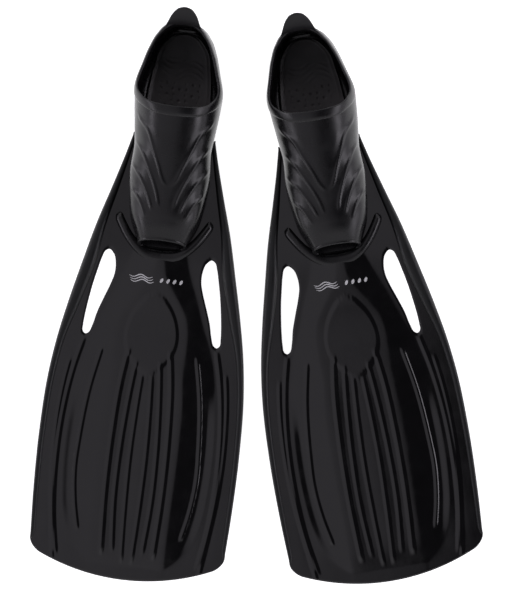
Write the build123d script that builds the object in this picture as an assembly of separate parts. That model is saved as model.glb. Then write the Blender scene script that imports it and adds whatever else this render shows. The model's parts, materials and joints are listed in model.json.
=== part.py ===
from build123d import *
from math import cos, pi, sin
import os

# A pair of full-foot snorkelling fins lying side by side on their soles.
# Each fin is drawn once, heel towards +Y and blade tip towards -Y, and then laid out twice.
# "run" is the distance from the end of the heel tab towards the blade tip, in plan, in mm.

# ---- overall sizes of one fin
FIN_LENGTH = 620.0
BLADE_HALF_WIDTH = 108.8
HINGE_RUN = 272.0            # line where the blade leaves the foot pocket
HINGE_HEIGHT = 36.5          # of the blade's mid-plane at that line, above the floor
HEEL_FLAT = 58.0             # the heel stands flat on the floor back from this run

# ---- how the pair lies
LEFT_TURN, RIGHT_TURN = -6.6, 9.4          # degrees, toes out
LEFT_PLACE, RIGHT_PLACE = (-101.5, 1.6), (101.5, -1.6)

# ---- thicknesses
SOLE_THICKNESS = 3.6
PLATE_THICKNESS = 3.4
BLADE_ROOT_THICKNESS = 3.4
BLADE_TIP_THICKNESS = 1.8
WALL = 3.0                   # rubber wall of the foot pocket
FLOOR_WALL = 2.2             # rubber under the foot
INSOLE_THICKNESS = 2.4
COLLAR_PROUD = 1.0           # the collar stands out from the pocket by this much
COLLAR_DEPTH = 11.0
SKIN_GAP = 0.12              # between pieces that are bonded together
FLEX_GAP = 0.35              # between pieces that move against each other
RAIL_COVER = 3.0             # rubber outside the blade's edge
RIB_HEIGHT = 2.4
RIB_FADE = 60.0              # the ribs sink into the sheet over this last stretch
BEAD_HEIGHT = 6.0            # of the bead round the toe

# ---- the pull tab on the heel
TAB_THICKNESS = 3.2
TAB_HALF_WIDTH = 17.0
TAB_REACH = 21.0
TAB_CORNER = 11.0
TAB_LEAN = 52.0              # degrees outwards from upright
TAB_RUN = 18.5

# ---- grip grooves across the sole
TREAD_FIRST, TREAD_LAST, TREAD_STEP = 74, 240, 14
TREAD_DEPTH = 1.6
TREAD_WIDTH = 3.2
TREAD_LENGTH = 60.0

TALL, WIDE = 200.0, 260.0    # taller and wider than the fin
ROOTED = 0.5                 # raised features are sunk this far into the sheet that carries them

# ---- outlines, as (half width, run)
SILHOUETTE = [(44.5, 140), (49.5, 160), (60.5, 199), (72.0, 238), (83.0, 283),
              (93.4, 328), (101.0, 367), (106.0, 406), (BLADE_HALF_WIDTH, 470),
              (107.9, 536), (105.6, 584)]
RAIL_INNER = [(40.0, 140), (44.2, 160), (52.6, 199), (61.5, 238), (68.6, 283),
              (80.6, 328), (92.3, 367), (98.6, 406), (102.3, 470), (102.2, 536), (101.2, 584)]
TIP_CORNER = [(105.6, 584), (103.6, 592), (97.0, 597.5)]
TIP_ARC_MID = (62.0, 611.5)
VENT = [(55, 265), (50.2, 269), (45.8, 280), (46.0, 294), (52.3, 316), (60.5, 340), (66.0, 355.5),
        (70, 358.6), (73.4, 352), (72.2, 325), (67.6, 298), (61.6, 275)]
SOLE = [(0, 21), (14, 23), (25, 31), (32, 48), (36.5, 78), (38.5, 110), (37.5, 145), (40.5, 180),
        (38.5, 207), (33.5, 232), (23.0, 247), (0, 250)]
PLATE_REAR = [(0, 34), (18, 37), (28, 56), (33, 85), (35, 115), (38, 145), (39, 180), (0, 190)]
INSOLE = [(0, 28), (14, 31), (24, 42), (30, 66), (33.5, 95), (33.5, 130), (33.5, 165), (34.0, 200),
          (30.5, 224), (22.0, 240), (0, 244)]
COWL = [(0, 268), (27.5, 268), (35.0, 290), (43.5, 313), (53, 345), (61, 375), (50, 392), (28, 398), (0, 400)]
RIBS = [  # (start half width, start run, middle half width, middle run, end half width, end run, width)
    (5.2, 397, 10.0, 489, 5.4, 598, 3.4),
    (12.5, 385, 20.0, 480, 16.5, 588, 3.4),
    (22.0, 372, 31.0, 470, 28.5, 590, 3.6),
    (53.5, 372, 65.5, 480, 56.5, 570, 6.0),
    (72.5, 366, 87.5, 480, 77.0, 596, 3.4),
    (88.5, 404, 91.0, 480, 81.0, 602, 3.4),
]

BEAD_OUTER = [(0, 268.5), (20, 266.5), (34, 257), (45, 241), (52.8, 222)]
BEAD_INNER = [(0, 262.0), (16, 260.5), (29, 251.5), (40, 236), (48.5, 220)]

# ---- side views, as (run, height from the blade's middle) and (run, height above the blade)
RAIL_RISE = [(138, 3.0), (160, 4.4), (200, 6.0), (240, 7.6), (272, 8.4), (300, 8.0), (350, 6.6),
             (430, 5.0), (520, 3.8), (588, 2.2)]
RAIL_DROP = [(138, 3.0), (200, 4.0), (272, 5.0), (350, 4.6), (450, 3.8), (588, 2.0)]
COWL_RISE = [(274, -ROOTED), (284, 7.0), (330, 8.0), (400, 0.6), (400, -ROOTED)]

POCKET_FLOOR = 7.6           # underside of the pocket above the underside of the sole

# ---- pocket sections, as (run, half width, underside above the sole line, top above the floor)
POCKET = [
    (17.0, 14.5, 13.0, 92.0), (22.0, 21.5, 9.6, 97.0), (31.0, 29.0, 7.8, 100.0),
    (46.0, 36.5, POCKET_FLOOR, 101.0), (66.0, 42.0, POCKET_FLOOR, 101.0), (88.0, 46.6, POCKET_FLOOR, 99.0),
    (110.0, 46.0, POCKET_FLOOR, 93.0), (134.0, 43.5, POCKET_FLOOR, 88.0), (150.0, 41.6, POCKET_FLOOR, 85.0),
    (180.0, 43.0, POCKET_FLOOR, 79.0), (207.0, 40.6, POCKET_FLOOR, 73.5), (228.0, 36.8, POCKET_FLOOR, 69.5),
    (245.0, 30.0, POCKET_FLOOR, 64.0), (262.0, 23.0, POCKET_FLOOR, 56.0),
]
SECTION_POINTS = 20
SHOULDER_SHARE = 0.40        # where a section is widest, as a share of its height
UPPER_POWER, LOWER_POWER = 2 / 2.5, 2 / 4.6   # how square the section is above and below that

# ---- the ankle opening and the toe opening, seen from the side as (run, height)
RIM = [(4, 75), (20, 75), (48, 67), (72, 63), (86, 67), (94, 80), (99, 96)]
TOE_END = [(251, 90), (251, 63), (260, 37), (300, 37), (300, 90)]
TAB_HEIGHT = RIM[1][1] + TAB_THICKNESS / 2 + FLEX_GAP


def sole_line(run):
    """Height of the underside of the sole above the floor."""
    rise = HINGE_HEIGHT - SOLE_THICKNESS - SKIN_GAP - PLATE_THICKNESS / 2
    return max(0.0, run - HEEL_FLAT) * rise / (HINGE_RUN - HEEL_FLAT)


def plate_middle(run):
    """Height of the middle of the foot plate, and beyond the hinge of the blade."""
    if run <= HINGE_RUN:
        return sole_line(run) + SOLE_THICKNESS + SKIN_GAP + PLATE_THICKNESS / 2
    fall = (run - HINGE_RUN) / (FIN_LENGTH - HINGE_RUN)
    return HINGE_HEIGHT + (BLADE_TIP_THICKNESS / 2 - HINGE_HEIGHT) * fall


def along(run):
    """Local Y of a distance from the heel end."""
    return FIN_LENGTH / 2 - run


def plan_point(point):
    return (point[0], along(point[1]))


def plan_prism(face):
    """A plan outline as a tall upright prism."""
    return extrude(face, TALL)


def side_prism(points):
    """A side-view polygon of (run, height), as wide as the fin and more."""
    loop = Polyline(*[(along(run), z) for run, z in points], close=True)
    return extrude(Plane.YZ * make_face(loop), WIDE / 2, both=True)


def band(low, high, runs):
    """The slab between two height functions over a list of runs."""
    under = [(run, low(run)) for run in runs]
    over = [(run, high(run)) for run in reversed(runs)]
    return side_prism(under + over)


def strip(outer, inner):
    """The face between two splines, closed straight at both ends, on the +X side."""
    out = [plan_point(p) for p in outer]
    back = [plan_point(p) for p in inner]
    return make_face([Spline(*out), Line(out[-1], back[-1]), Spline(*back), Line(back[0], out[0])])


def inside_edge(inset):
    """Half the plan of the rail stretch, from the centre line to the silhouette less an inset."""
    edge = [plan_point((x - inset, run)) for x, run in SILHOUETTE]
    first, last = (0, edge[0][1]), (0, edge[-1][1])
    return make_face([Spline(*edge), Polyline(edge[-1], last, first, edge[0])])


def both_sides(shape):
    return shape, mirror(shape, Plane.YZ)


def mirrored_prism(face):
    """The prism of a face that touches the centre line, with its other half."""
    half = plan_prism(face)
    return half + mirror(half, Plane.YZ)


def centred_half(points):
    """Half a symmetric face: a spline from centre line to centre line, closed along it."""
    right = [plan_point(p) for p in points]
    return make_face([Spline(*right), Line(right[-1], right[0])])


# ---------------------------------------------------------------- blade and plate

def vent_prisms():
    points = [plan_point(p) for p in VENT]
    prism = plan_prism(make_face(Spline(*points, periodic=True)))
    return both_sides(prism)


def tip_plan():
    """Half the plan of the blade beyond the rails, with its rounded corner and arched tip."""
    corner = [plan_point(p) for p in TIP_CORNER]
    tip = plan_point((0, FIN_LENGTH))
    start = (0, corner[0][1])
    outline = [Spline(*corner), ThreePointArc(corner[-1], plan_point(TIP_ARC_MID), tip),
               Polyline(tip, start, corner[0])]
    return make_face(outline)


def blade_half_thickness(run):
    share = (run - HINGE_RUN) / (FIN_LENGTH - HINGE_RUN)
    return (BLADE_ROOT_THICKNESS + (BLADE_TIP_THICKNESS - BLADE_ROOT_THICKNESS) * share) / 2


def rib_plan(rib):
    """A long bead with round ends, drawn as an arc strip."""
    x0, run0, x1, run1, x2, run2, width = rib
    path = ThreePointArc(plan_point((x0, run0)), plan_point((x1, run1)), plan_point((x2, run2)))
    bead = trace(path, width)
    for point in (path @ 0, path @ 1):
        bead += Pos(point.X, point.Y) * Circle(width / 2)
    return bead


def hinge_rod(radius):
    """A rod along the flex line."""
    rod = Rot(0, 90, 0) * Cylinder(radius, WIDE)
    return Pos(0, along(HINGE_RUN), plate_middle(HINGE_RUN)) * rod


def blade():
    """The stiff plastic blade: flat sheet, raised middle, long ribs and two vents."""
    def under(run):
        return plate_middle(run) - blade_half_thickness(run)

    def over(run):
        return plate_middle(run) + blade_half_thickness(run)

    def rib_top(run):
        return over(run) + RIB_HEIGHT * min(1.0, (FIN_LENGTH - run) / RIB_FADE)

    plan = mirrored_prism(inside_edge(RAIL_COVER)) + mirrored_prism(tip_plan())
    shape = plan & (band(under, over, [HINGE_RUN, FIN_LENGTH + 1]) + hinge_rod(BLADE_ROOT_THICKNESS / 2))

    ramp = side_prism([(run, over(run) + rise) for run, rise in COWL_RISE])
    shape += mirrored_prism(centred_half(COWL)) & ramp
    rib_band = band(lambda run: over(run) - ROOTED, rib_top,
                    [HINGE_RUN + 20, FIN_LENGTH - RIB_FADE, FIN_LENGTH - 10])
    for rib in RIBS:
        for prism in both_sides(plan_prism(rib_plan(rib)) & rib_band):
            shape += prism
    for vent in vent_prisms():
        shape -= vent
    return shape


def foot_plate():
    """The stiff plate under the foot, with a wing on each side that reaches the rails."""
    low = SOLE_THICKNESS + SKIN_GAP
    runs = [20, HEEL_FLAT, HINGE_RUN]
    slab = band(lambda r: sole_line(r) + low, lambda r: sole_line(r) + low + PLATE_THICKNESS, runs)
    plan = mirrored_prism(centred_half(PLATE_REAR)) + mirrored_prism(inside_edge(RAIL_COVER))
    shape = (plan & slab) - hinge_rod(BLADE_ROOT_THICKNESS / 2 + FLEX_GAP)
    for vent in vent_prisms():
        shape -= vent
    return shape


def rail(side):
    """One soft rubber rail: it wraps the blade's edge and runs back beside the foot pocket."""
    over = Spline(*[(along(run), plate_middle(run) + rise) for run, rise in RAIL_RISE])
    under = Spline(*[(along(run), plate_middle(run) - drop) for run, drop in RAIL_DROP])
    loop = [over, Line(over @ 1, under @ 1), under, Line(under @ 0, over @ 0)]
    profile = extrude(Plane.YZ * make_face(loop), WIDE / 2, both=True)
    plan = plan_prism(strip(SILHOUETTE, RAIL_INNER))

    def groove_low(run):
        return plate_middle(run) - BLADE_ROOT_THICKNESS / 2 - FLEX_GAP

    def groove_high(run):
        return plate_middle(run) + BLADE_ROOT_THICKNESS / 2 + FLEX_GAP

    groove = plan_prism(inside_edge(RAIL_COVER - FLEX_GAP))
    groove &= band(groove_low, groove_high, [120, HINGE_RUN, FIN_LENGTH])
    shape = (plan & profile) - groove
    return shape if side > 0 else mirror(shape, Plane.YZ)


# ---------------------------------------------------------------- sole and insole

def outsole():
    """The rubber sole under the plate, with cross grooves for grip."""
    outline = mirrored_prism(centred_half(SOLE))
    slab = band(sole_line, lambda r: sole_line(r) + SOLE_THICKNESS, [10, HEEL_FLAT, 260])
    shape = outline & slab
    for run in range(TREAD_FIRST, TREAD_LAST, TREAD_STEP):
        groove = Box(TREAD_LENGTH, TREAD_WIDTH, 2 * TREAD_DEPTH)
        shape -= Pos(0, along(run), sole_line(run)) * groove
    return shape


def insole():
    """The footbed that lies in the pocket."""
    low = POCKET_FLOOR + FLOOR_WALL + 5 * SKIN_GAP
    slab = band(lambda r: sole_line(r) + low, lambda r: sole_line(r) + low + INSOLE_THICKNESS,
                [10, HEEL_FLAT, 260])
    hollow = pocket_form(-WALL - 2 * SKIN_GAP, FLOOR_WALL, ahead=WALL + 2 * SKIN_GAP)
    return mirrored_prism(centred_half(INSOLE)) & slab & hollow


# ---------------------------------------------------------------- foot pocket

def pocket_section(run, half_width, low, high):
    """An upright egg-shaped section: nearly flat below, round above."""
    middle = low + SHOULDER_SHARE * (high - low)
    points = []
    for step in range(SECTION_POINTS):
        turn = 2 * pi * step / SECTION_POINTS
        c, s = cos(turn), sin(turn)
        power, reach = (UPPER_POWER, high - middle) if s >= 0 else (LOWER_POWER, middle - low)
        x = half_width * abs(c) ** power * (1 if c >= 0 else -1)
        z = middle + reach * abs(s) ** power * (1 if s >= 0 else -1)
        points.append((x, z))
    wire = Plane(origin=(0, along(run), 0), x_dir=(1, 0, 0), z_dir=(0, -1, 0)) * Spline(
        *points, periodic=True)
    return make_face(wire)


def pocket_form(grow, lift, ahead=0.0):
    """The lofted form of the pocket, grown sideways and upwards by grow, its floor lifted by lift."""
    rows = []
    for run, half_width, low, high in POCKET:
        rows.append(pocket_section(run + ahead * (run < 60), half_width + grow,
                                   sole_line(run) + low + lift, high + grow))
    return loft(rows)


def above_rim(drop):
    """Everything above the rim line, or above a line that runs a collar's depth below it."""
    points = [(along(run + 1.05 * drop * (run > 80)), z - drop * (run < 90)) for run, z in RIM]
    line = Spline(*points)
    start, end = line @ 0, line @ 1
    loop = [line, Line(end, (end.X, TALL)), Line((end.X, TALL), (start.X, TALL)),
            Line((start.X, TALL), start)]
    return extrude(Plane.YZ * make_face(loop), WIDE / 2, both=True)


def foot_pocket(inside):
    """The rubber shell round the foot, open at the ankle and at the toes."""
    shape = pocket_form(0, 0) - inside
    shape -= above_rim(COLLAR_DEPTH)
    shape -= side_prism(TOE_END)
    return shape


def opening_collar(inside):
    """The thicker rim round the ankle opening."""
    band_zone = above_rim(COLLAR_DEPTH - SKIN_GAP) - above_rim(0)
    return (pocket_form(COLLAR_PROUD, 0) - inside) & band_zone


def toe_bead():
    """The raised rubber bead that runs round the toe of the pocket."""
    top = SOLE_THICKNESS + PLATE_THICKNESS + 2 * SKIN_GAP
    slab = band(lambda r: sole_line(r) + top, lambda r: sole_line(r) + top + BEAD_HEIGHT, [200, HINGE_RUN])
    return (mirrored_prism(strip(BEAD_OUTER, BEAD_INNER)) & slab) - pocket_form(SKIN_GAP, 0)


def heel_tab():
    """The pull tab: a rounded tongue on the back of the rim, leaning outwards."""
    tongue = Rectangle(2 * TAB_HALF_WIDTH, 2 * TAB_REACH)
    tongue = fillet(tongue.vertices(), TAB_CORNER) & Pos(0, TAB_REACH) * Rectangle(WIDE, 2 * TAB_REACH)
    leaf = extrude(tongue, TAB_THICKNESS / 2, both=True)
    leaf += Rot(0, 90, 0) * Cylinder(TAB_THICKNESS / 2, 2 * TAB_HALF_WIDTH)
    return Pos(0, along(TAB_RUN), TAB_HEIGHT) * Rot(90 - TAB_LEAN, 0, 0) * leaf


def one_fin():
    """All the pieces of one fin, by name. The two rails are told apart by their side."""
    inside = pocket_form(-WALL, FLOOR_WALL, ahead=WALL)
    return {
        "blade": blade(),
        "foot_plate": foot_plate(),
        "west_rail": rail(-1),
        "east_rail": rail(1),
        "outsole": outsole(),
        "insole": insole(),
        "foot_pocket": foot_pocket(inside),
        "opening_collar": opening_collar(inside),
        "toe_bead": toe_bead(),
        "heel_tab": heel_tab(),
    }


def lay_out(fin):
    """Both fins in place, with the pair's footprint centred on the origin."""
    rail_names = {
        "left": {"west_rail": "outer_rail", "east_rail": "inner_rail"},
        "right": {"west_rail": "inner_rail", "east_rail": "outer_rail"},
    }
    places = {"left": (LEFT_TURN, LEFT_PLACE), "right": (RIGHT_TURN, RIGHT_PLACE)}
    pair = {}
    for side, (turn, (x, y)) in places.items():
        for name, shape in fin.items():
            node = f"{side}_{rail_names[side].get(name, name)}"
            pair[node] = Pos(x, y) * Rot(0, 0, turn) * shape
    box = Compound(list(pair.values())).bounding_box()
    centre = Pos(-box.center().X, -box.center().Y, -box.min.Z)
    return {node: centre * shape for node, shape in pair.items()}


os.makedirs("parts", exist_ok=True)
for node, shape in lay_out(one_fin()).items():
    export_step(shape, f"parts/{node}.step")
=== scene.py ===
"""A pair of full-foot snorkelling fins, seen from straight above on a pale floor."""

import json
from math import atan2, pi, radians, sin

import bpy
import numpy as np
from mathutils import Matrix, Vector


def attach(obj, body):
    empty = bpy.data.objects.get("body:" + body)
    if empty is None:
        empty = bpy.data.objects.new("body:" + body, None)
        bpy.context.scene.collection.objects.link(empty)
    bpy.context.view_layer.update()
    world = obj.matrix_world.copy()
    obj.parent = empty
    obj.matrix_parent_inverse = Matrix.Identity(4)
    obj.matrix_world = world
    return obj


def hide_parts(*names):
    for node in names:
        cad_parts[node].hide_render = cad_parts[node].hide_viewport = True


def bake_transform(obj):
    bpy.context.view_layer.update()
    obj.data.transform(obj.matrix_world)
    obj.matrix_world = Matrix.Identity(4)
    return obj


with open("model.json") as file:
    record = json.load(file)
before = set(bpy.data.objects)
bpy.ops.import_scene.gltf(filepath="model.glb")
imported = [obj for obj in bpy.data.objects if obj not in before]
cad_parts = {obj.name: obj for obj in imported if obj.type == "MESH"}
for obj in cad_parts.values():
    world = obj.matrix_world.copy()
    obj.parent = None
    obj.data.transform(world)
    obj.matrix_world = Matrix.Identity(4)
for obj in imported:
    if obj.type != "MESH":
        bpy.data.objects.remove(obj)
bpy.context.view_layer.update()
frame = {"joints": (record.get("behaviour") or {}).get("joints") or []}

# Every piece is drawn once for a fin that points straight down the page, in millimetres: x across,
# "run" along from the end of the heel tab to the blade tip, z up from the floor. It is then laid out
# twice, by the two flex joints of the frame.

FIN_LENGTH = 620.0
HINGE_RUN, HINGE_HEIGHT = 272.0, 36.5
HINGE_ROUNDING = 3.0             # rounds the turn from the foot's slope to the blade's
HEEL_FLAT = 58.0                 # the sole lies flat on the floor up to here
HEEL_MIDDLE = 5.42               # height of the foot plate's middle over that flat
SHEET = 3.2                      # thickness of the blade at its root
SHEET_TIP = 1.8
FOOT_SLOPE = (HINGE_HEIGHT - HEEL_MIDDLE) / (HINGE_RUN - HEEL_FLAT)
BLADE_SLOPE = (HINGE_HEIGHT - SHEET_TIP / 2) / (FIN_LENGTH - HINGE_RUN)
RAIL_COVER = 3.0                 # rubber outside the blade's edge
WALL = 3.0                       # rubber wall of the foot pocket
FLOOR_WALL = 2.2
POCKET_FLOOR = 7.6               # underside of the pocket above the underside of the sole
BEND_REACH = 42.0                # the blade's visible bend reaches this far to each side of the hinge
HAIR = 0.02                      # keeps roots and directions defined where a form closes to a point
SIDES = ("left", "right")


# ------------------------------------------------------------------ small helpers

def curve(points):
    """A smooth function through (x, y) points, flat beyond both ends."""
    xs, ys = np.array(points, float).T
    slopes = np.gradient(ys, xs)

    def value(x):
        x = np.clip(np.asarray(x, float), xs[0], xs[-1])
        i = np.clip(np.searchsorted(xs, x, side="right") - 1, 0, len(xs) - 2)
        h = xs[i + 1] - xs[i]
        t = (x - xs[i]) / h
        a = (2 * t ** 3 - 3 * t ** 2 + 1) * ys[i] + (t ** 3 - 2 * t ** 2 + t) * h * slopes[i]
        return a + (3 * t ** 2 - 2 * t ** 3) * ys[i + 1] + (t ** 3 - t ** 2) * h * slopes[i + 1]
    return value


def smooth_path(points, count):
    """Evenly numbered points on a smooth line through the given points."""
    points = np.array(points, float)
    gaps = np.linalg.norm(np.diff(points, axis=0), axis=1)
    at = np.concatenate([[0], np.cumsum(gaps)])
    where = np.linspace(0, at[-1], count)
    return np.column_stack([curve(np.column_stack([at, points[:, k]]))(where)
                            for k in range(points.shape[1])])


def closed_path(points, count):
    """A smooth closed line through the given points, its last point on its first."""
    wrapped = np.array(points[-3:] + points + points[:4], float)
    at = np.concatenate([[0], np.cumsum(np.linalg.norm(np.diff(wrapped, axis=0), axis=1))])
    where = np.linspace(at[3], at[3 + len(points)], count)
    return np.column_stack([curve(np.column_stack([at, wrapped[:, k]]))(where) for k in (0, 1)])


def step(x):
    """0 below 0, 1 above 1, smooth between."""
    t = np.clip(x, 0, 1)
    return t * t * (3 - 2 * t)


def ridge(distance, half_width):
    """A rounded bead: 1 on its line, 0 beyond its half width."""
    t = np.clip(np.abs(distance) / half_width, 0, 1)
    return (1 - t * t) ** 1.5


def stretch(run, start, end, fade):
    """1 between two runs, fading at both ends."""
    return step((run - start) / fade) * step((end - run) / fade)


def signed_power(value, power):
    return np.sign(value) * np.abs(value) ** power


# ------------------------------------------------------------------ outlines of the fin

# Curves are (run, half width), and (run, height) for the rail's rise above and drop below the middle
# height. The vent's outline is (half width, run).

SILHOUETTE = curve([(140, 44.5), (160, 49.5), (199, 60.5), (238, 72.0), (283, 83.0), (328, 93.4),
                    (367, 101.0), (406, 106.0), (470, 108.8), (536, 107.9), (584, 105.6)])
RAIL_INNER = curve([(140, 40.0), (160, 44.2), (199, 52.6), (238, 61.5), (283, 68.6), (328, 80.6),
                    (367, 92.3), (406, 98.6), (470, 102.3), (536, 102.2), (584, 101.2)])
RAIL_RISE = curve([(138, 3.0), (160, 4.4), (200, 6.0), (240, 7.6), (272, 8.4), (300, 8.0), (350, 6.6),
                   (430, 5.0), (520, 3.8), (588, 2.2)])
RAIL_DROP = curve([(138, 3.0), (200, 4.0), (272, 5.0), (350, 4.6), (450, 3.8), (588, 2.0)])
RAIL_ENDS = (138.0, 586.0)
TIP_RADIUS = 230.0                          # of the arc that ends the blade
CORNER_START, CORNER_END = 93.0, 105.8      # half widths between which the tip's corner is rounded
CORNER_DROP = 9.5                           # how far the corner falls back from the arc
VENT = closed_path([(55.6, 266.6), (50.2, 270.8), (47.0, 281), (47.0, 292), (50.2, 304), (55.4, 318.5),
                    (61.0, 335), (64.9, 351), (67.5, 357.8), (71.0, 359.8), (73.9, 357.6), (74.3, 350),
                    (73.4, 338), (71.2, 321), (68.6, 305), (65.2, 289), (61.9, 275.5), (59.2, 268.6)],
                   150)


def middle_height(run):
    """Height of the middle of the foot plate and the blade, rounded at the toe line."""
    foot = HINGE_HEIGHT + (run - HINGE_RUN) * FOOT_SLOPE
    blade = HINGE_HEIGHT - (run - HINGE_RUN) * BLADE_SLOPE
    return (foot + blade - np.sqrt((foot - blade) ** 2 + HINGE_ROUNDING ** 2)) / 2


def sole_line(run):
    """Height of the underside of the sole."""
    return np.maximum(0.0, run - HEEL_FLAT) * FOOT_SLOPE


def tip_run(x):
    """Run of the blade's end at a distance from the centre line."""
    x = np.minimum(np.abs(x), CORNER_END - HAIR)
    arc = FIN_LENGTH - TIP_RADIUS + np.sqrt(TIP_RADIUS ** 2 - x ** 2)
    corner = np.clip((x - CORNER_START) / (CORNER_END - CORNER_START), 0, 1)
    return arc - CORNER_DROP * (1 - np.sqrt(1 - corner ** 2))


# ------------------------------------------------------------------ meshes

def layout(side):
    """From a fin's own millimetres to the frame, taken from that fin's flex joint."""
    joint = next(j for j in frame["joints"] if j["name"] == f"{side}_blade_flex")
    turn = atan2(joint["axis"][1], joint["axis"][0])
    hinge = Vector((0, FIN_LENGTH / 2 - HINGE_RUN, HINGE_HEIGHT)) * 0.001
    turned = Matrix.Rotation(turn, 4, "Z")
    return Matrix.Translation(Vector(joint["pos_m"]) - turned @ hinge) @ turned


LAYOUT = {side: layout(side) for side in SIDES}


def local(x, run, z):
    """Points of a fin in metres, before it is laid out."""
    x, run, z = np.broadcast_arrays(np.asarray(x, float), run, z)
    return np.stack([x, FIN_LENGTH / 2 - run, z], -1).reshape(-1, 3) * 0.001


def grid_faces(rows, columns, closed=False):
    """Quads of a grid of points, numbered row by row."""
    faces = []
    last = columns if closed else columns - 1
    for i in range(rows - 1):
        for j in range(last):
            k = (j + 1) % columns
            row, above = i * columns, (i + 1) * columns
            faces.append((row + j, row + k, above + k, above + j))
    return faces


def clip(points, faces, field):
    """Keeps the part of a flat mesh where the field is below zero, cut exactly along its zero line."""
    points, new_points, cuts, kept = list(map(tuple, points)), [], {}, []

    def cut(a, b):
        key = (min(a, b), max(a, b))
        if key not in cuts:
            share = field[key[0]] / (field[key[0]] - field[key[1]])
            low, high = np.array(points[key[0]]), np.array(points[key[1]])
            cuts[key] = len(points) + len(new_points)
            new_points.append(tuple(low + (high - low) * share))
        return cuts[key]

    for face in faces:
        inside = [field[v] < 0 for v in face]
        if all(inside):
            kept.append(face)
        elif any(inside):
            ring = []
            for n, v in enumerate(face):
                w = face[(n + 1) % len(face)]
                if field[v] < 0:
                    ring.append(v)
                if (field[v] < 0) != (field[w] < 0):
                    ring.append(cut(v, w))
            kept.append(tuple(ring))
    points += new_points
    used = sorted({v for face in kept for v in face})
    renumber = {v: n for n, v in enumerate(used)}
    return np.array([points[v] for v in used]), [tuple(renumber[v] for v in face) for face in kept]


def shell_faces(faces, count):
    """Faces of a shell whose second skin repeats the first one's points, with walls along the edges."""
    edges = dict.fromkeys((v, face[(n + 1) % len(face)]) for face in faces for n, v in enumerate(face))
    walls = [(v, v + count, w + count, w) for v, w in edges if (w, v) not in edges]
    return faces + [tuple(v + count for v in face) for face in flipped(faces)] + walls


def build(name, side, points, faces, material, sharp=40.0):
    """A smooth-shaded object of a fin's piece, laid out in the frame."""
    mesh = bpy.data.meshes.new(f"{side}_{name}")
    mesh.from_pydata([tuple(p) for p in points], [], faces)
    mesh.transform(LAYOUT[side])
    mesh.validate()
    mesh.polygons.foreach_set("use_smooth", [True] * len(mesh.polygons))
    mesh.set_sharp_from_angle(angle=radians(sharp))
    mesh.materials.append(material)
    piece = bpy.data.objects.new(f"{side}_{name}_look", mesh)
    bpy.context.scene.collection.objects.link(piece)
    return piece


def flipped(faces):
    return [tuple(reversed(face)) for face in faces]


def tube(rings):
    """Points and faces of a tube through closed rings of points, with a cap on each end."""
    rings = np.array(rings)
    count, around = rings.shape[:2]
    faces = grid_faces(count, around, closed=True)
    faces.append(tuple(reversed(range(around))))
    faces.append(tuple(range((count - 1) * around, count * around)))
    return rings.reshape(-1, 3), faces


def bend(piece, side):
    """Bakes a piece that crosses the toe line in place; the ends of the bend are worked out but not used,
    and the piece does not bend.
    """
    start, end = (LAYOUT[side] @ Vector(local(0, HINGE_RUN + reach, HINGE_HEIGHT)[0])
                  for reach in (-BEND_REACH, BEND_REACH))
    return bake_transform(piece)


# ------------------------------------------------------------------ materials

MOTTLE_SCALE, GLOSS_SCALE = 38, 60     # of the noise that changes the colour and the gloss
ROUGH_SPREAD = 0.06                    # roughness varies by this to both sides
COAT_ROUGHNESS = 0.08


def material(name, colour, roughness, grain_size, grain_depth, mottle=0.25, level=0.5, coat=0.0,
             painted_shade=None):
    """A moulded plastic or rubber: fine grain, slight mottling, and slight changes of gloss.

    Its last argument is (y, y, factor), a painted shade: between the two places the colour changes by the
    factor.
    """
    mat = bpy.data.materials.new(name)
    mat.use_nodes = True
    nodes, links = mat.node_tree.nodes, mat.node_tree.links
    shader = nodes["Principled BSDF"]
    shader.inputs["Specular IOR Level"].default_value = level
    shader.inputs["Coat Weight"].default_value = coat
    shader.inputs["Coat Roughness"].default_value = COAT_ROUGHNESS
    where = nodes.new("ShaderNodeTexCoord")

    def noise(scale, detail):
        texture = nodes.new("ShaderNodeTexNoise")
        texture.inputs["Scale"].default_value = scale
        texture.inputs["Detail"].default_value = detail
        links.new(where.outputs["Object"], texture.inputs["Vector"])
        return texture.outputs["Fac"]

    def spread(value, low, high):
        ranged = nodes.new("ShaderNodeMapRange")
        ranged.inputs["From Min"].default_value = 0.3
        ranged.inputs["From Max"].default_value = 0.7
        ranged.inputs["To Min"].default_value = low
        ranged.inputs["To Max"].default_value = high
        links.new(value, ranged.inputs["Value"])
        return ranged.outputs["Result"]

    ramp = nodes.new("ShaderNodeValToRGB")
    for n, part in enumerate((1 - mottle, 1 + mottle)):
        ramp.color_ramp.elements[n].color = tuple(c * part for c in colour) + (1,)
    links.new(spread(noise(MOTTLE_SCALE, 3), 0, 1), ramp.inputs["Fac"])
    colour_out = ramp.outputs["Color"]
    # Painted shade: the colour is scaled by a factor along the object's Y, darker where shade would fall.
    if painted_shade:
        place, scaled = nodes.new("ShaderNodeSeparateXYZ"), nodes.new("ShaderNodeVectorMath")
        along, scaled.operation = nodes.new("ShaderNodeMapRange"), "SCALE"
        links.new(where.outputs["Object"], place.inputs["Vector"])
        links.new(place.outputs["Y"], along.inputs["Value"])
        start, end, factor = painted_shade
        along.inputs["From Min"].default_value = start
        along.inputs["From Max"].default_value = end
        along.inputs["To Min"].default_value = 1.0
        along.inputs["To Max"].default_value = factor
        links.new(colour_out, scaled.inputs[0])
        links.new(along.outputs["Result"], scaled.inputs["Scale"])
        colour_out = scaled.outputs["Vector"]
    links.new(colour_out, shader.inputs["Base Color"])
    gloss = spread(noise(GLOSS_SCALE, 4), roughness - ROUGH_SPREAD, roughness + ROUGH_SPREAD)
    links.new(gloss, shader.inputs["Roughness"])
    bump = nodes.new("ShaderNodeBump")
    bump.inputs["Strength"].default_value = 1.0
    bump.inputs["Distance"].default_value = grain_depth
    links.new(noise(1 / grain_size, 3), bump.inputs["Height"])
    links.new(bump.outputs["Normal"], shader.inputs["Normal"])
    return mat


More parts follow.
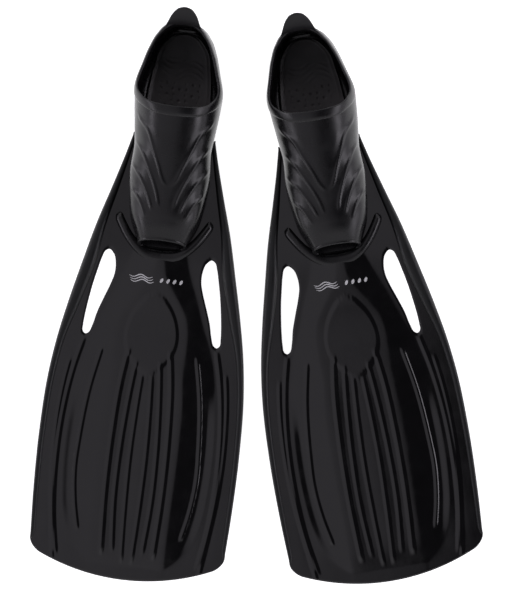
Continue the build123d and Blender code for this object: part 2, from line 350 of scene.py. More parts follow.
BLADE_PLASTIC = material("blade_plastic", (0.0018, 0.0017, 0.0021), 0.12, 0.004, 0.00002, coat=0.4)
RAIL_RUBBER = material("rail_rubber", (0.0032, 0.0036, 0.0040), 0.42, 0.0007, 0.00004, level=0.36)
POCKET_RUBBER = material("pocket_rubber", (0.0040, 0.0039, 0.0045), 0.28, 0.0011, 0.00002, level=0.42)
TAB_RUBBER = material("tab_rubber", (0.0085, 0.0082, 0.0090), 0.5, 0.0007, 0.00004, level=0.4)
# The insole's colour darkens towards the heel: painted shade standing in for the shade inside the deep
# heel cup.
INSOLE_RUBBER = material("insole_rubber", (0.046, 0.040, 0.042), 0.42, 0.0009, 0.00006, level=0.4,
                         painted_shade=(0.195, 0.258, 0.07))
SOLE_RUBBER = material("sole_rubber", (0.009, 0.009, 0.0095), 0.55, 0.0008, 0.00006)
PRINT_INK = material("print_ink", (0.52, 0.52, 0.53), 0.4, 0.0006, 0.00001, mottle=0.06)


# ------------------------------------------------------------------ blade: sheet, facets, leaf and ribs

# A bead is its (half width from the centre line, run) points, half width and height.
FACET_INNER = curve([(262, 3.5), (274, 5.4), (290, 8.6), (304, 17.5), (318, 27), (330, 34), (345, 38),
                     (365, 39), (393, 38.5), (429, 42), (464, 43), (531, 42), (594, 40.5)])
FACET_OUTER = curve([(262, 27.5), (269, 29), (290, 36), (310, 44.3), (340, 55), (364, 65), (393, 72.5),
                     (429, 76), (470, 78.5), (510, 78), (553, 73), (573, 67.5), (587, 60), (597, 50.5),
                     (606, 41)])
FACET_SLOPE = 0.098
FACET_ROUNDING = 2.4
FORM_START, FORM_FADE = 254.0, 16.0    # the form grows out of the flat sheet under the toes
EDGE_FALL = 1.1                        # step down at the facet's outer edge
RIPPLES = [(0.10, 5.6, 0.8), (0.07, 13, -1.1)]   # faint waves across: height, width, start
CROWN = 0.8                            # fall of the sheet at 100 mm from the centre line
LEAF_HEIGHT, LEAF_ROUNDING = 0.55, 3.2
LEAF_EDGE = curve([(308, 0), (311, 6.5), (318, 13.5), (330, 21.5), (343, 26.3), (356, 28),
                   (370, 25.5), (382, 18.5), (391, 10.5), (398, 0)])
CENTRE_RIBS = [
    ([(5.1, 394), (7.4, 440), (8.6, 490), (7.8, 540), (5.4, 603)], 2.6, 0.5),
    ([(12.6, 381), (16.2, 418), (19.9, 482), (20.2, 531), (16.2, 592)], 2.8, 0.55),
    ([(22.2, 369), (27.0, 405), (30.4, 464), (31.0, 517), (28.1, 596)], 3.4, 0.72),
]
OUTER_RIBS = [
    ([(71.3, 362), (78.8, 394), (85.9, 447), (87.6, 490), (84.2, 553), (76.4, 602)], 3.2, 0.62),
    ([(84.0, 386), (87.4, 408), (91.4, 464), (90.3, 517), (84.6, 570), (79.4, 608)], 2.8, 0.5),
]
FACET_BEAD = ([(51.6, 372), (60.0, 416), (65.3, 472), (66.4, 503), (62.6, 541), (56.0, 572)], 3.0, 0.85)
BLADE_START, WARP_START = 143.0, 572.0     # rows are straight up to the second, then follow the tip
COVER_END, COVER_FADE = 590.0, 10.0        # the rail's cover on the edge ends here
BLADE_ROWS, TIP_ROWS, BLADE_COLUMNS = 180, 40, 241
ROUND_DEPTH, ROUND_WIDTH = 0.55, 1.6       # rounding of the sheet's free edges
VENT_MIDDLE, VENT_REACH = (60, 312), (22, 56)
FAR_FROM_VENT = 20.0


def bead(x, run, line, half_width, height, fade=7.0):
    """A long raised bead on both sides of the centre line, with rounded ends."""
    route = curve([(r, a) for a, r in line])
    start, end = line[0][1], line[-1][1]
    lean = (route(run + 2) - route(run - 2)) / 4
    distance = (np.abs(x) - route(run)) / np.sqrt(1 + lean ** 2)
    return height * ridge(distance, half_width) * stretch(run, start - 1, end + 1, fade)


def soft_ramp(x):
    """x above 0 and 0 below, rounded where it turns."""
    return (x + np.sqrt(x * x + FACET_ROUNDING * FACET_ROUNDING)) / 2


def blade_form(x, run):
    """The moulded shape of the whole sheet: a raised middle with a long facet down each side."""
    out, outer = np.abs(x), FACET_OUTER(run)
    rise = FACET_SLOPE * (soft_ramp(outer - out) - soft_ramp(FACET_INNER(run) - out))
    edge = EDGE_FALL * step((outer - out) / 9 + 0.2) * stretch(run, 400, 600, 60)
    ripples = sum(height * np.sin(x / width + start) for height, width, start in RIPPLES)
    ripples *= stretch(run, 372, 612, 50) * (1 - step((out - 80) / 15))
    crown = CROWN * (x / 100) ** 2 * step((run - 300) / 100)
    return rise * step((run - FORM_START) / FORM_FADE) + ripples - edge - crown


def blade_detail(x, run):
    """The raised leaf, the ribs and the facet's bead, on the upper face alone."""
    leaf = LEAF_EDGE(run) - np.abs(x)
    height = LEAF_HEIGHT * step(leaf / LEAF_ROUNDING + 0.5) * stretch(run, 303, 404, 16)
    height += bead(x, run, *FACET_BEAD)
    for line, half_width, rise in CENTRE_RIBS + OUTER_RIBS:
        height += bead(x, run, line, half_width, rise, fade=12.0)
    return height


def blade_relief(x, run):
    """Height of the blade's upper face over the plain sheet."""
    return blade_form(x, run) + blade_detail(x, run)


def vent_distance(x, run):
    """Signed distance to the vent's outline: negative inside the hole."""
    points = np.column_stack([np.abs(x), run])
    near = (np.abs(points - VENT_MIDDLE) < VENT_REACH).all(axis=1)
    result = np.full(len(points), FAR_FROM_VENT)
    a, b = VENT[:-1], VENT[1:]
    for n in np.flatnonzero(near):
        p = points[n]
        share = np.clip(((p - a) * (b - a)).sum(1) / ((b - a) ** 2).sum(1), 0, 1)
        gap = np.sqrt(((a + (b - a) * share[:, None] - p) ** 2).sum(1).min())
        crosses = ((a[:, 1] > p[1]) != (b[:, 1] > p[1])) & (
            p[0] < (b[:, 0] - a[:, 0]) * (p[1] - a[:, 1]) / (b[:, 1] - a[:, 1] + 1e-12) + a[:, 0])
        result[n] = -gap if crosses.sum() % 2 else gap
    return result


def blade_thickness(run):
    share = np.clip((run - HINGE_RUN) / (FIN_LENGTH - HINGE_RUN), 0, 1)
    return SHEET + (SHEET_TIP - SHEET) * share


def blade_moulding(side):
    """The stiff moulding: blade, vents and the wings beside the foot pocket, in one piece."""
    across = np.linspace(-1, 1, BLADE_COLUMNS)
    across = across * (1.12 - 0.12 * across ** 2)
    along = np.concatenate([np.linspace(BLADE_START, WARP_START, BLADE_ROWS, endpoint=False),
                            np.linspace(WARP_START, FIN_LENGTH, TIP_ROWS)])
    points = []
    for run in along:
        cover = RAIL_COVER * step((COVER_END - run) / COVER_FADE)
        x = across * ((SILHOUETTE(run) if run < WARP_START else CORNER_END) - cover)
        share = max(0.0, (run - WARP_START) / (FIN_LENGTH - WARP_START))
        bent = WARP_START + share * (tip_run(across * CORNER_END) - WARP_START)
        points.append(np.column_stack([x, bent if share > 0 else np.full(x.shape, run)]))
    points = np.concatenate(points)
    faces = grid_faces(len(along), BLADE_COLUMNS)
    points, faces = clip(points, faces, -vent_distance(points[:, 0], points[:, 1]))
    x, run = points.T
    half = blade_thickness(run) / 2
    edge = np.minimum(vent_distance(x, run), tip_run(x) - run)
    round_over = ROUND_DEPTH * (1 - np.clip(edge / ROUND_WIDTH, 0, 1)) ** 2
    middle = middle_height(run)
    top = middle + half + blade_relief(x, run) - round_over
    bottom = middle - half + blade_form(x, run) + round_over * 0.6
    skin = np.concatenate([local(x, run, top), local(x, run, bottom)])
    piece = build("blade", side, skin, shell_faces(faces, len(points)), BLADE_PLASTIC,
                  sharp=50)
    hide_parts(f"{side}_blade", f"{side}_foot_plate")
    return bend(piece, side)


# ------------------------------------------------------------------ rails

RAIL_RINGS, RAIL_AROUND = 170, 22
RAIL_POWER = 0.72                      # below 1 makes the section boxier than an ellipse


def rail(side, hand, place):
    """One soft rubber rail: a rounded bar that narrows to both ends."""
    start, end = RAIL_ENDS
    rings = []
    angles = np.linspace(0, 2 * pi, RAIL_AROUND, endpoint=False)
    for run in np.linspace(start, end, RAIL_RINGS):
        outer, inner = float(SILHOUETTE(run)), float(RAIL_INNER(run))
        taper = np.sqrt(np.clip((end - run) / 9, 0.0016, 1))
        taper *= np.sqrt(np.clip((run - start) / 5, 0.002, 1))
        half = (outer - inner) / 2 * (0.25 + 0.75 * taper)
        rise, drop = float(RAIL_RISE(run)) * taper, float(RAIL_DROP(run)) * taper
        x = outer - half + half * signed_power(np.cos(angles), RAIL_POWER)
        reach = np.where(np.sin(angles) > 0, rise, drop)
        z = float(middle_height(run)) + reach * signed_power(np.sin(angles), RAIL_POWER)
        rings.append(local(hand * x, run, z))
    points, faces = tube(rings)
    if hand > 0:
        faces = flipped(faces)
    piece = build(f"{place}_rail", side, points, faces, RAIL_RUBBER, sharp=60)
    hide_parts(f"{side}_{place}_rail")
    return bend(piece, side)


# ------------------------------------------------------------------ foot pocket

POCKET = [  # run, half width, underside above the sole line, top above the floor
    (16.5, HAIR, 30.0, 70.0), (17.2, 8.3, 18.0, 84.0), (19.0, 14.8, 12.0, 92.0), (22.5, 20.6, 9.6, 97.0),
    (31.0, 28.0, 7.8, 100.0), (46.0, 35.2, 7.6, 101.0), (66.0, 41.2, 7.6, 101.0),
    (88.0, 46.8, 7.6, 99.0), (110.0, 46.0, 7.6, 93.0), (134.0, 43.5, 7.6, 88.0),
    (150.0, 41.6, 7.6, 85.0), (180.0, 43.0, 7.6, 79.0), (207.0, 40.6, 7.6, 73.5),
    (228.0, 36.8, 7.6, 69.5), (245.0, 30.0, 7.6, 64.0), (262.0, 23.0, 7.6, 56.0),
]
POCKET_WIDTH = curve([(row[0], row[1]) for row in POCKET])
POCKET_LOW = curve([(row[0], row[2]) for row in POCKET])
POCKET_TOP = curve([(row[0], row[3]) for row in POCKET])
HEEL_END, POCKET_END = POCKET[0][0], 264.0
SHOULDER_SHARE = 0.40                  # where a section is widest, as a share of its height
UPPER_POWER, LOWER_POWER = 2.25, 4.6   # of the section's round top and flat bottom
LEAN, LEAN_FROM, LEAN_REACH = 0.08, 35.0, 40.0   # slope of the heel's lean, and its heights
HEEL_WALL_REACH = 23.5                 # within this of the heel the wall is also moved along the run
RIM = [(4, 75), (20, 75), (48, 67), (72, 63), (86, 66), (98, 77), (108, 97)]
RIM_FORWARD_FROM, RIM_DOWN_TO = 80, 90   # where a line below the rim lies forward of it, and below it
RIM_REACH = 116.0                      # the rim ends within this run from the heel
COLLAR_DEPTH = 11.0
CHEVRONS = [
    [(42, 116), (38, 124), (29, 135), (21, 153), (13, 172), (6.5, 188), (1.0, 195)],
    [(42, 146), (35, 154), (27, 168), (19, 184), (11, 204), (7.5, 219)],
    [(43, 170), (37, 178), (28, 191), (21, 204), (14, 222)],
    [(40, 197), (35, 203), (28, 213), (21, 228)],
]
CHEVRON_HEIGHT, CHEVRON_HALF_WIDTH = 0.8, 1.7
GROOVE_DEPTH, GROOVE_HALF_WIDTH, GROOVE_AT = 0.12, 3.5, 4.0   # the dip beside each chevron
TOE_SWELL, TOE_SWELL_RUN = 0.4, 238
TOE_END, TOE_TOP = 249.5, 63.0         # run and height of the toe opening's upper edge
TOE_FALL, TOE_FORWARD = 26.0, 9.5      # its slanted face goes this far down and this far forward


def pocket_form(run, angle, grow=0.0, lift=0.0):
    """A point of the pocket's form: an egg-shaped section, nearly flat below and round above."""
    width = np.maximum(POCKET_WIDTH(run) + grow, HAIR)
    low = sole_line(run) + POCKET_LOW(run) + lift
    high = np.maximum(POCKET_TOP(run) + grow, low + 2)
    middle = low + SHOULDER_SHARE * (high - low)
    c, s = np.cos(angle), np.sin(angle)
    x = width * signed_power(c, 2 / np.where(s >= 0, UPPER_POWER, LOWER_POWER))
    z = middle + np.where(s >= 0, (high - middle) * np.abs(s) ** (2 / UPPER_POWER),
                          -(middle - low) * np.abs(s) ** (2 / LOWER_POWER))
    return x + heel_lean(run, z), z


def heel_lean(run, z):
    """The soft heel leans a little to one side, more so higher up."""
    return -LEAN * np.clip(z - LEAN_FROM, 0, LEAN_REACH) * (1 - step((np.asarray(run) - 70) / 60))


def line_distance(x, run, line):
    """Distance in plan from points to a bent line, and how far along it they are."""
    path = smooth_path(line, 40)
    best, where = np.full(x.shape, 1e9), np.zeros(x.shape)
    for n in range(len(path) - 1):
        a, b = path[n], path[n + 1]
        span = b - a
        share = np.clip(((x - a[0]) * span[0] + (run - a[1]) * span[1]) / (span ** 2).sum(), 0, 1)
        gap = np.hypot(x - a[0] - share * span[0], run - a[1] - share * span[1])
        where = np.where(gap < best, (n + share) / (len(path) - 1), where)
        best = np.minimum(gap, best)
    return best, where


def pocket_relief(x, run, upper):
    """Chevron beads on the pocket's upper face, and the swell of the panels between them."""
    relief = np.zeros(x.shape)
    for line in CHEVRONS:
        gap, where = line_distance(np.abs(x), run, line)
        rise = CHEVRON_HEIGHT * ridge(gap, CHEVRON_HALF_WIDTH)
        relief += rise * step(where * 8) * step((1 - where) * 9)
        dip = GROOVE_DEPTH * ridge(gap - GROOVE_AT, GROOVE_HALF_WIDTH)
        relief -= dip * step(where * 6) * step((1 - where) * 5)
    relief += TOE_SWELL * ridge(np.hypot(x / 20, (run - TOE_SWELL_RUN) / 10), 1.0)
    return relief * upper


def rim_height(run, drop):
    """Height of the rim line, or of the line a drop below it, which moves forward at the instep."""
    line = [(r + 1.05 * drop * (r > RIM_FORWARD_FROM), z - drop * (r < RIM_DOWN_TO)) for r, z in RIM]
    last = line[-1][0]
    return curve(line + [(last + 3, 112), (last + 8, 140)])(run)


def shell_point(run, angle, depth):
    """A point inside the pocket's wall by a depth, or outside it for a negative one."""
    x, z = pocket_form(run, angle, -depth, depth * FLOOR_WALL / WALL)
    back = np.clip(1 - (run - HEEL_END) / HEEL_WALL_REACH, 0, 1)
    return x, run + depth * back, z


def rim_line(drop, count):
    """Half of a line round the ankle opening, from heel to instep, as (run, angle) pairs."""
    runs = HEEL_END + HAIR + RIM_REACH * np.linspace(0, 1, 1800) ** 1.6
    low, high = sole_line(runs) + POCKET_LOW(runs), POCKET_TOP(runs)
    middle = low + SHOULDER_SHARE * (high - low)
    share = (rim_height(runs, drop) - middle) / (high - middle)
    first = int(np.argmax(share < 1))
    last = first + int(np.argmax(share[first:] >= 1))
    runs, share = runs[first:last + 1], np.clip(share[first:last + 1], 0, 1)
    angles = np.arcsin(share ** (UPPER_POWER / 2))
    angles[-1] = pi / 2
    x, z = pocket_form(runs, angles)
    gaps = np.linalg.norm(np.diff(np.column_stack([x, runs, z]), axis=0), axis=1)
    at = np.concatenate([[0], np.cumsum(gaps)])
    where = np.linspace(0, at[-1], count)
    return np.interp(where, at, runs), np.interp(where, at, angles)


def foot_pocket(side):
    """The rubber shell round the foot, open at the ankle and at the toes."""
    rows, around = 200, 220
    s = np.linspace(0, 1, rows)
    runs = HEEL_END + (POCKET_END - HEEL_END) * (0.62 * s + 0.38 * s ** 1.9)   # closer at the heel
    angles = np.linspace(-pi / 2, 1.5 * pi, around, endpoint=False)
    run, angle = (a.ravel() for a in np.meshgrid(runs, angles, indexing="ij"))
    x, z = pocket_form(run, angle)
    rim = z - rim_height(run, COLLAR_DEPTH - 1.0)
    points, faces = clip(np.column_stack([run, np.cos(angle), np.sin(angle)]),
                         grid_faces(rows, around, closed=True), np.maximum(rim, toe_field(run, z)))
    run, angle = points[:, 0], np.arctan2(points[:, 2], points[:, 1])
    x, z = pocket_form(run, angle)
    upper = step(np.sin(angle) * 2.2 + 0.25) * stretch(run, 106, 250, 10)
    push = pocket_relief(x, run, upper)
    outer = np.column_stack([x + push * np.cos(angle), run, z + push * np.maximum(np.sin(angle), 0)])
    inner = np.column_stack(shell_point(run, angle, WALL))
    skin = np.concatenate([local(*outer.T), local(*inner.T)])
    piece = build("foot_pocket", side, skin, shell_faces(flipped(faces), len(outer)), POCKET_RUBBER,
                  sharp=50)
    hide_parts(f"{side}_foot_pocket")
    return bend(piece, side)


def toe_field(run, z):
    """Below zero behind the slanted end of the pocket."""
    return run - TOE_END - np.clip(TOE_TOP - z, 0, TOE_FALL) * TOE_FORWARD / TOE_FALL


def toe_rim(side):
    """The lip round the toe opening."""
    angles = np.linspace(radians(-38), radians(218), 90)
    run = np.full(angles.shape, 254.0)
    for _ in range(30):          # settles on the slanted face
        x, z = pocket_form(run, angles)
        run -= 0.6 * toe_field(run, z)
    x, z = pocket_form(run, angles, -0.9, 0.8)
    path = np.column_stack([x, run, z])
    around = np.linspace(0, 2 * pi, 12, endpoint=False)
    rings = []
    for n, (x, run, z) in enumerate(path):
        ahead = path[min(n + 1, len(path) - 1)] - path[max(n - 1, 0)]
        ahead /= np.linalg.norm(ahead)
        across = np.cross(ahead, (0, 0.95, -0.3))
        across /= np.linalg.norm(across)
        other = np.cross(ahead, across)
        share = min(max((n + 0.5) / len(path), 0.02), 0.98)
        radius = 2.1 * (0.35 + 0.65 * sin(pi * share) ** 0.35)
        ring = path[n] + radius * (np.cos(around)[:, None] * across + np.sin(around)[:, None] * other)
        rings.append(local(*ring.T))
    points, faces = tube(rings)
    piece = build("toe_rim", side, points, faces, POCKET_RUBBER)
    return bend(piece, side)


COLLAR_SECTION = [  # (drop below the rim, depth inside the pocket's form)
    (11.4, 0.2), (11.0, -0.4), (10.0, -0.8), (7.5, -0.95), (4.5, -0.8), (2.0, -0.5), (0.7, -0.1),
    (0.1, 0.5), (0.0, 1.2), (0.2, 1.9), (0.9, 2.5), (2.5, 3.0), (6.0, 3.4), (9.5, 3.4), (11.4, 2.6),
]


def opening_collar(side):
    """The thick rolled rim round the ankle opening."""
    halves = []
    for drop, depth in COLLAR_SECTION:
        run, angle = rim_line(drop, 110)
        x, run, z = shell_point(run, angle, depth)
        lean = heel_lean(run, z)
        x[0], x[-1] = lean[0], lean[-1]
        halves.append(np.column_stack([x, run, z, 2 * lean - x]))
    halves = np.array(halves).transpose(1, 0, 2)
    half, mirrored = halves[..., :3], halves[-2:0:-1][..., [3, 1, 2]]
    ring = np.concatenate([half, mirrored])
    count, around = ring.shape[:2]
    last = (count - 1) * around
    faces = grid_faces(count, around, closed=True)
    faces += [(last + j, last + (j + 1) % around, (j + 1) % around, j) for j in range(around)]
    piece = build("opening_collar", side, local(*ring.reshape(-1, 3).T), flipped(faces), POCKET_RUBBER,
                  sharp=60)
    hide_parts(f"{side}_opening_collar")
    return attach(piece, f"{side}_foot")


TAB_SPINE = [(0, 18.4, 68.5), (0.2, 18.0, 73.0), (0.4, 15.6, 78.5), (0.7, 9.0, 85.3), (1, 1.6, 91.0)]
TAB_RUN = curve([(q, run) for q, run, _ in TAB_SPINE])
TAB_HEIGHT = curve([(q, height) for q, _, height in TAB_SPINE])
TAB_WIDTH = curve([(0, 21.0), (0.2, 19.2), (0.4, 17.4), (0.6, 15.2), (0.75, 12.9), (0.88, 9.7),
                   (0.96, 6.2), (1.0, 1.6)])
TAB_HALF_THICKNESS = 1.5
TAB_BOW = 4.6                          # the root curves round the heel by this much


def heel_tab(side):
    """The pull tab: a rounded rubber tongue that grows out of the rim and leans back."""
    rows, columns = 34, 31
    p = np.sin(np.linspace(-pi / 2, pi / 2, columns))
    skins = []
    for face in (1, -1):
        for q in np.linspace(0, 1, rows):
            run, z = float(TAB_RUN(q)), float(TAB_HEIGHT(q))
            ends = np.array([max(q - 0.02, 0.0), min(q + 0.02, 1.0)])
            along = np.array([np.diff(TAB_RUN(ends))[0], np.diff(TAB_HEIGHT(ends))[0]])
            along /= np.hypot(*along)
            x = p * float(TAB_WIDTH(q)) + heel_lean(run, z)
            end = np.sqrt(np.clip((1 - q) / 0.08, 0, 1))
            edge = np.sqrt(np.clip(1 - np.abs(p) ** 6, 0, 1)) * end
            half = face * TAB_HALF_THICKNESS * (0.15 + 0.85 * edge)
            bow = TAB_BOW * p ** 2 * (1 - q) ** 0.7
            skins.append(local(x, run + bow + half * along[1], z - half * along[0]))
    faces = grid_faces(rows, columns)
    points = np.concatenate(skins)
    piece = build("heel_tab", side, points, shell_faces(faces, rows * columns), TAB_RUBBER,
                  sharp=70)
    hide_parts(f"{side}_heel_tab")
    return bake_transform(piece)


# ------------------------------------------------------------------ toe bead, insole and sole

BEAD_COUNT = 60
BEAD_OUTER = smooth_path([(0, 275.5), (13, 274), (27, 266.5), (40, 253.5), (49, 240.5), (54.6, 230.5)],
                         BEAD_COUNT)
BEAD_INNER = smooth_path([(0, 261.5), (17, 259.0), (30, 249.5), (39.5, 237), (47.6, 223.5)], BEAD_COUNT)
BEAD_TOP = curve([(0, 39.6), (0.2, 40.0), (0.4, 41.0), (0.7, 40.2), (1, 36.6)])
BEAD_HALF_HEIGHT = 4.2


def toe_bead(side):
    """The raised rubber crescent round the toe, wider in the middle where it meets the blade."""
    around = np.linspace(0, 2 * pi, 20, endpoint=False)
    c, s = np.cos(around), np.sin(around)
    rings = []
    for share, outer, inner in zip(np.linspace(0, 1, BEAD_COUNT), BEAD_OUTER, BEAD_INNER):
        end = np.sqrt(np.clip((1 - share) / 0.06, 0.01, 1))
        centre, half = (outer + inner) / 2, (outer - inner) / 2 * (0.4 + 0.6 * end)
        z = float(BEAD_TOP(share)) - BEAD_HALF_HEIGHT + BEAD_HALF_HEIGHT * end * s
        rings.append(np.column_stack([centre[0] + half[0] * c, centre[1] + half[1] * c, z]))
    rings = np.array(rings)
    whole = np.concatenate([rings[:0:-1] * (-1, 1, 1), rings])
    points, faces = tube([local(*ring.T) for ring in whole])
    piece = build("toe_bead", side, points, faces, POCKET_RUBBER, sharp=70)
    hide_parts(f"{side}_toe_bead")
    return bend(piece, side)


INSOLE_WIDTH = curve([(27.5, 1.0), (28.5, 8.0), (31, 14), (36, 19.5), (42, 24), (66, 30.5), (95, 33.6),
                      (165, 33.5), (200, 34), (224, 30.5), (238, 23), (244, 10), (245, 1.0)])
INSOLE_ENDS = (27.5, 245)
INSOLE_HEIGHT, INSOLE_EDGE, INSOLE_DISH = 2.4, 1.5, 1.6
DIMPLE_ACROSS, DIMPLE_ALONG, DIMPLE_SHIFT = 14, 12.5, 6.3
HEEL_WAVE_PITCH, HEEL_WAVE_HEIGHT = 6.0, 0.3


def insole(side):
    """The embossed footbed: a raised edge, rows of dimples, and small waves at the heel."""
    rows, columns = 230, 75
    runs = np.linspace(*INSOLE_ENDS, rows)
    run, t = (a.ravel() for a in np.meshgrid(runs, np.linspace(-1, 1, columns), indexing="ij"))
    width = INSOLE_WIDTH(run)
    x = t * width
    floor = sole_line(run) + POCKET_FLOOR + FLOOR_WALL + 0.2
    edge = width - np.abs(x)
    relief = INSOLE_HEIGHT + INSOLE_EDGE * (1 - step(edge / 5.0)) + INSOLE_DISH * (np.abs(x) / 34) ** 4
    field = step((edge - 7) / 3) * stretch(run, 44, 236, 8)
    shifted = run + DIMPLE_SHIFT * np.round(x / DIMPLE_ACROSS)
    pattern = np.cos(2 * pi * x / DIMPLE_ACROSS) * np.cos(2 * pi * shifted / DIMPLE_ALONG)
    relief -= 3.0 * np.maximum(0, pattern - 0.72) * field * stretch(run, 78, 225, 4)
    waves = np.maximum(0, np.sin(2 * pi * (run + 5 * np.sin(x / 7)) / HEEL_WAVE_PITCH) - 0.2)
    waves *= field * stretch(run, 52, 77, 4) * step((x + 24) / 6) * step((24 - x) / 6 + 0.8)
    relief += HEEL_WAVE_HEIGHT * waves
    skin = np.concatenate([local(x, run, floor + relief), local(x, run, floor)])
    faces = shell_faces(grid_faces(rows, columns), rows * columns)
    piece = build("insole", side, skin, faces, INSOLE_RUBBER, sharp=60)
    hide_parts(f"{side}_insole")
    return bend(piece, side)


SOLE_WIDTH = curve([(20.5, 1.0), (22, 12), (26, 20), (32, 26), (48, 32.5), (78, 37), (110, 38.8),
                    (145, 38), (180, 40.5), (207, 38.5), (232, 33.5), (245, 25), (251, 12), (252, 1.0)])
SOLE_ENDS = (20.5, 252)
TREAD_START, TREAD_PITCH, TREAD_DEPTH, TREAD_HALF_WIDTH = 74, 14, 1.4, 1.9


def outsole(side):
    """The rubber sole: it wraps the foot plate up to the pocket, and has cross grooves below."""
    rows, columns = 260, 61
    runs = np.linspace(*SOLE_ENDS, rows)
    run, t = (a.ravel() for a in np.meshgrid(runs, np.linspace(-1, 1, columns), indexing="ij"))
    width = SOLE_WIDTH(run)
    x = np.sin(t * pi / 2) * width
    edge = width - np.abs(x)
    low = sole_line(run) + 0.9 * (1 - step(edge / 2.2))
    past = run - TREAD_START
    groove = step(1 - np.abs(past - TREAD_PITCH * np.round(past / TREAD_PITCH)) / TREAD_HALF_WIDTH)
    low += TREAD_DEPTH * groove * step((edge - 3) / 1.5) * stretch(run, 68, 240, 2)
    high = sole_line(run) + POCKET_FLOOR + 0.5 - 1.4 * (1 - step(edge / 2.5))
    skin = np.concatenate([local(x, run, high), local(x, run, low)])
    faces = shell_faces(grid_faces(rows, columns), rows * columns)
    piece = build("outsole", side, skin, faces, SOLE_RUBBER, sharp=60)
    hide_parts(f"{side}_outsole")
    return bend(piece, side)


# ------------------------------------------------------------------ printed mark

WAVES, WAVE_START, WAVE_END, WAVE_SWING, WAVE_GAP = 3, -31.0, -6.0, 1.5, 2.6
BARS, BAR_START, BAR_PITCH, BAR_LEAN, BAR_LENGTH = 4, 3.0, 7.0, 2.4, 4.6
WAVE_RUN, BAR_RUN = 291.4, 296.4
WAVE_HALF_WIDTH, BAR_HALF_WIDTH = 0.55, 1.5
INK_TOP, INK_BOTTOM = 0.14, -0.2       # above the blade's face


def stroke(x, run, half_width):
    """A flat ribbon along a path on the blade's upper face, with rounded ends."""
    path = np.column_stack([x, run])
    ahead = np.gradient(path, axis=0)
    ahead /= np.linalg.norm(ahead, axis=1)[:, None]
    across = np.column_stack([-ahead[:, 1], ahead[:, 0]])
    ends = np.sin(pi * np.linspace(0.04, 0.96, len(path)))
    width = half_width * np.sqrt(np.clip(ends, 0.05, 1))[:, None]
    flat = np.stack([path - across * width, path, path + across * width], 1).reshape(-1, 2)
    return flat, grid_faces(len(path), 3)


def printed_mark(side):
    """A plain printed decoration: three rolling lines and a row of slanted bars."""
    s = np.linspace(0, 1, 26)
    x, wave = WAVE_START + (WAVE_END - WAVE_START) * s, WAVE_RUN + WAVE_SWING * np.sin(3 * pi * s)
    strokes = [stroke(x + n, wave + WAVE_GAP * n, WAVE_HALF_WIDTH) for n in range(WAVES)]
    strokes += [stroke(BAR_START + BAR_PITCH * n + BAR_LEAN * s, BAR_RUN - BAR_LENGTH * s, BAR_HALF_WIDTH)
                for n in range(BARS)]
    points, faces = [], []
    for flat, quads in strokes:
        shift = sum(len(p) for p in points)
        points.append(flat)
        faces += [tuple(v + shift for v in face) for face in quads]
    x, run = np.concatenate(points).T
    surface = middle_height(run) + blade_thickness(run) / 2 + blade_relief(x, run)
    skin = np.concatenate([local(x, run, surface + INK_TOP), local(x, run, surface + INK_BOTTOM)])
    faces = shell_faces(flipped(faces), len(x))
    piece = build("printed_mark", side, skin, faces, PRINT_INK)
    return bend(piece, side)


for fin in SIDES:
    blade_moulding(fin)
    rail(fin, -1, "outer" if fin == "left" else "inner")
    rail(fin, 1, "inner" if fin == "left" else "outer")
    foot_pocket(fin)
    toe_rim(fin)
    opening_collar(fin)
    heel_tab(fin)
    toe_bead(fin)
    insole(fin)
    outsole(fin)
    printed_mark(fin)


# ------------------------------------------------------------------ floor, light and camera

FLOOR_SIZE, FLOOR_HEIGHT = 9.0, -0.0004
SOFT_BOXES = [  # (degrees from straight up, towards +X, and brightness)
    (-82, 0.25), (-71, 0.10), (-68, 0.75), (-61, 0.75), (-56, 0.105), (-25, 0.105), (-4, 0.098),
    (3, 0.066), (6, 0.008), (45, 0.008), (50, 0.75), (62, 0.75), (66, 0.10), (82, 0.25),
]
BOX_END, DIM_START = 0.42, 0.58        # share of a direction along Y where the boxes fade out
DIM_COLOUR = (0.15, 0.147, 0.155, 1)
STUDIO_STRENGTH = 4.5


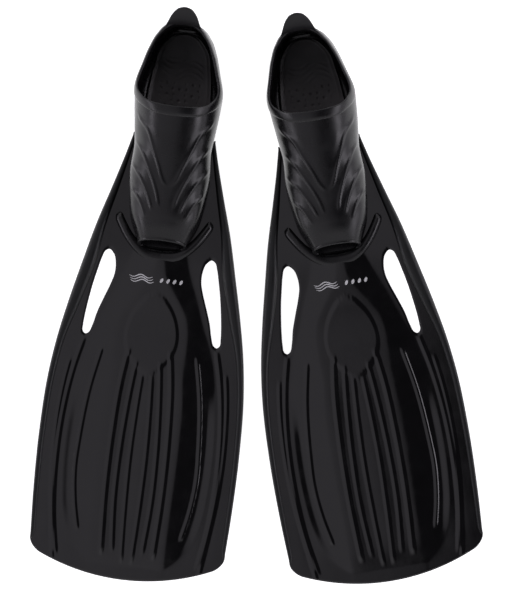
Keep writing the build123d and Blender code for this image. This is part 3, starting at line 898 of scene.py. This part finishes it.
def studio():
    """A white floor, and a surrounding of soft boxes: bright at both sides, dim above, a dark gap."""
    bpy.ops.mesh.primitive_plane_add(size=FLOOR_SIZE, location=(0, 0, FLOOR_HEIGHT))
    floor = bpy.context.object
    floor.name = "floor"
    mat = bpy.data.materials.new("floor_white")
    mat.use_nodes = True
    shader = mat.node_tree.nodes["Principled BSDF"]
    shader.inputs["Base Color"].default_value = (0.93, 0.93, 0.93, 1)
    shader.inputs["Roughness"].default_value = 0.9
    shader.inputs["Specular IOR Level"].default_value = 0.1
    shader.inputs["Emission Color"].default_value = (1, 1, 1, 1)
    shader.inputs["Emission Strength"].default_value = 0.9
    floor.data.materials.append(mat)

    world = bpy.data.worlds.new("studio")
    bpy.context.scene.world = world
    world.use_nodes = True
    nodes, links = world.node_tree.nodes, world.node_tree.links
    where = nodes.new("ShaderNodeTexCoord")
    parts = nodes.new("ShaderNodeSeparateXYZ")
    links.new(where.outputs["Generated"], parts.inputs["Vector"])
    angle = nodes.new("ShaderNodeMath")
    angle.operation = "ARCTAN2"
    links.new(parts.outputs["X"], angle.inputs[0])
    links.new(parts.outputs["Z"], angle.inputs[1])
    share = nodes.new("ShaderNodeMapRange")
    share.inputs["From Min"].default_value = -pi / 2
    share.inputs["From Max"].default_value = pi / 2
    links.new(angle.outputs[0], share.inputs["Value"])
    ramp = nodes.new("ShaderNodeValToRGB")
    links.new(share.outputs["Result"], ramp.inputs["Fac"])
    for n, (degrees_out, value) in enumerate(SOFT_BOXES):
        element = ramp.color_ramp.elements[n] if n < 2 else ramp.color_ramp.elements.new(0.999)
        element.position = (degrees_out + 90) / 180
        element.color = (value, value * 0.96, value * 1.05, 1)
    depth = nodes.new("ShaderNodeMath")
    depth.operation = "ABSOLUTE"
    links.new(parts.outputs["Y"], depth.inputs[0])
    ends = nodes.new("ShaderNodeMapRange")
    ends.interpolation_type = "SMOOTHSTEP"
    ends.inputs["From Min"].default_value = BOX_END
    ends.inputs["From Max"].default_value = DIM_START
    links.new(depth.outputs[0], ends.inputs["Value"])
    mixed = nodes.new("ShaderNodeMix")
    mixed.data_type = "RGBA"
    links.new(ends.outputs["Result"], mixed.inputs["Factor"])
    links.new(ramp.outputs["Color"], mixed.inputs["A"])
    mixed.inputs["B"].default_value = DIM_COLOUR
    background = nodes["Background"]
    background.inputs["Strength"].default_value = STUDIO_STRENGTH
    links.new(mixed.outputs["Result"], background.inputs["Color"])


CAMERA_PLACE = (0.0092, -0.0032, 7.0)
SENSOR_HEIGHT = 24.0
VIEW_HEIGHT = 0.648                    # of what the camera sees on the floor


def camera():
    """Straight above, far off with a long lens, so the fins are seen with little perspective."""
    data = bpy.data.cameras.new("camera")
    data.sensor_fit = "VERTICAL"
    data.sensor_height = SENSOR_HEIGHT
    data.lens = SENSOR_HEIGHT * CAMERA_PLACE[2] / VIEW_HEIGHT
    data.clip_end = 30
    seen = bpy.data.objects.new("camera", data)
    seen.location = CAMERA_PLACE
    bpy.context.scene.collection.objects.link(seen)
    bpy.context.scene.camera = seen
    bpy.context.scene.view_settings.view_transform = "Standard"


studio()
camera()
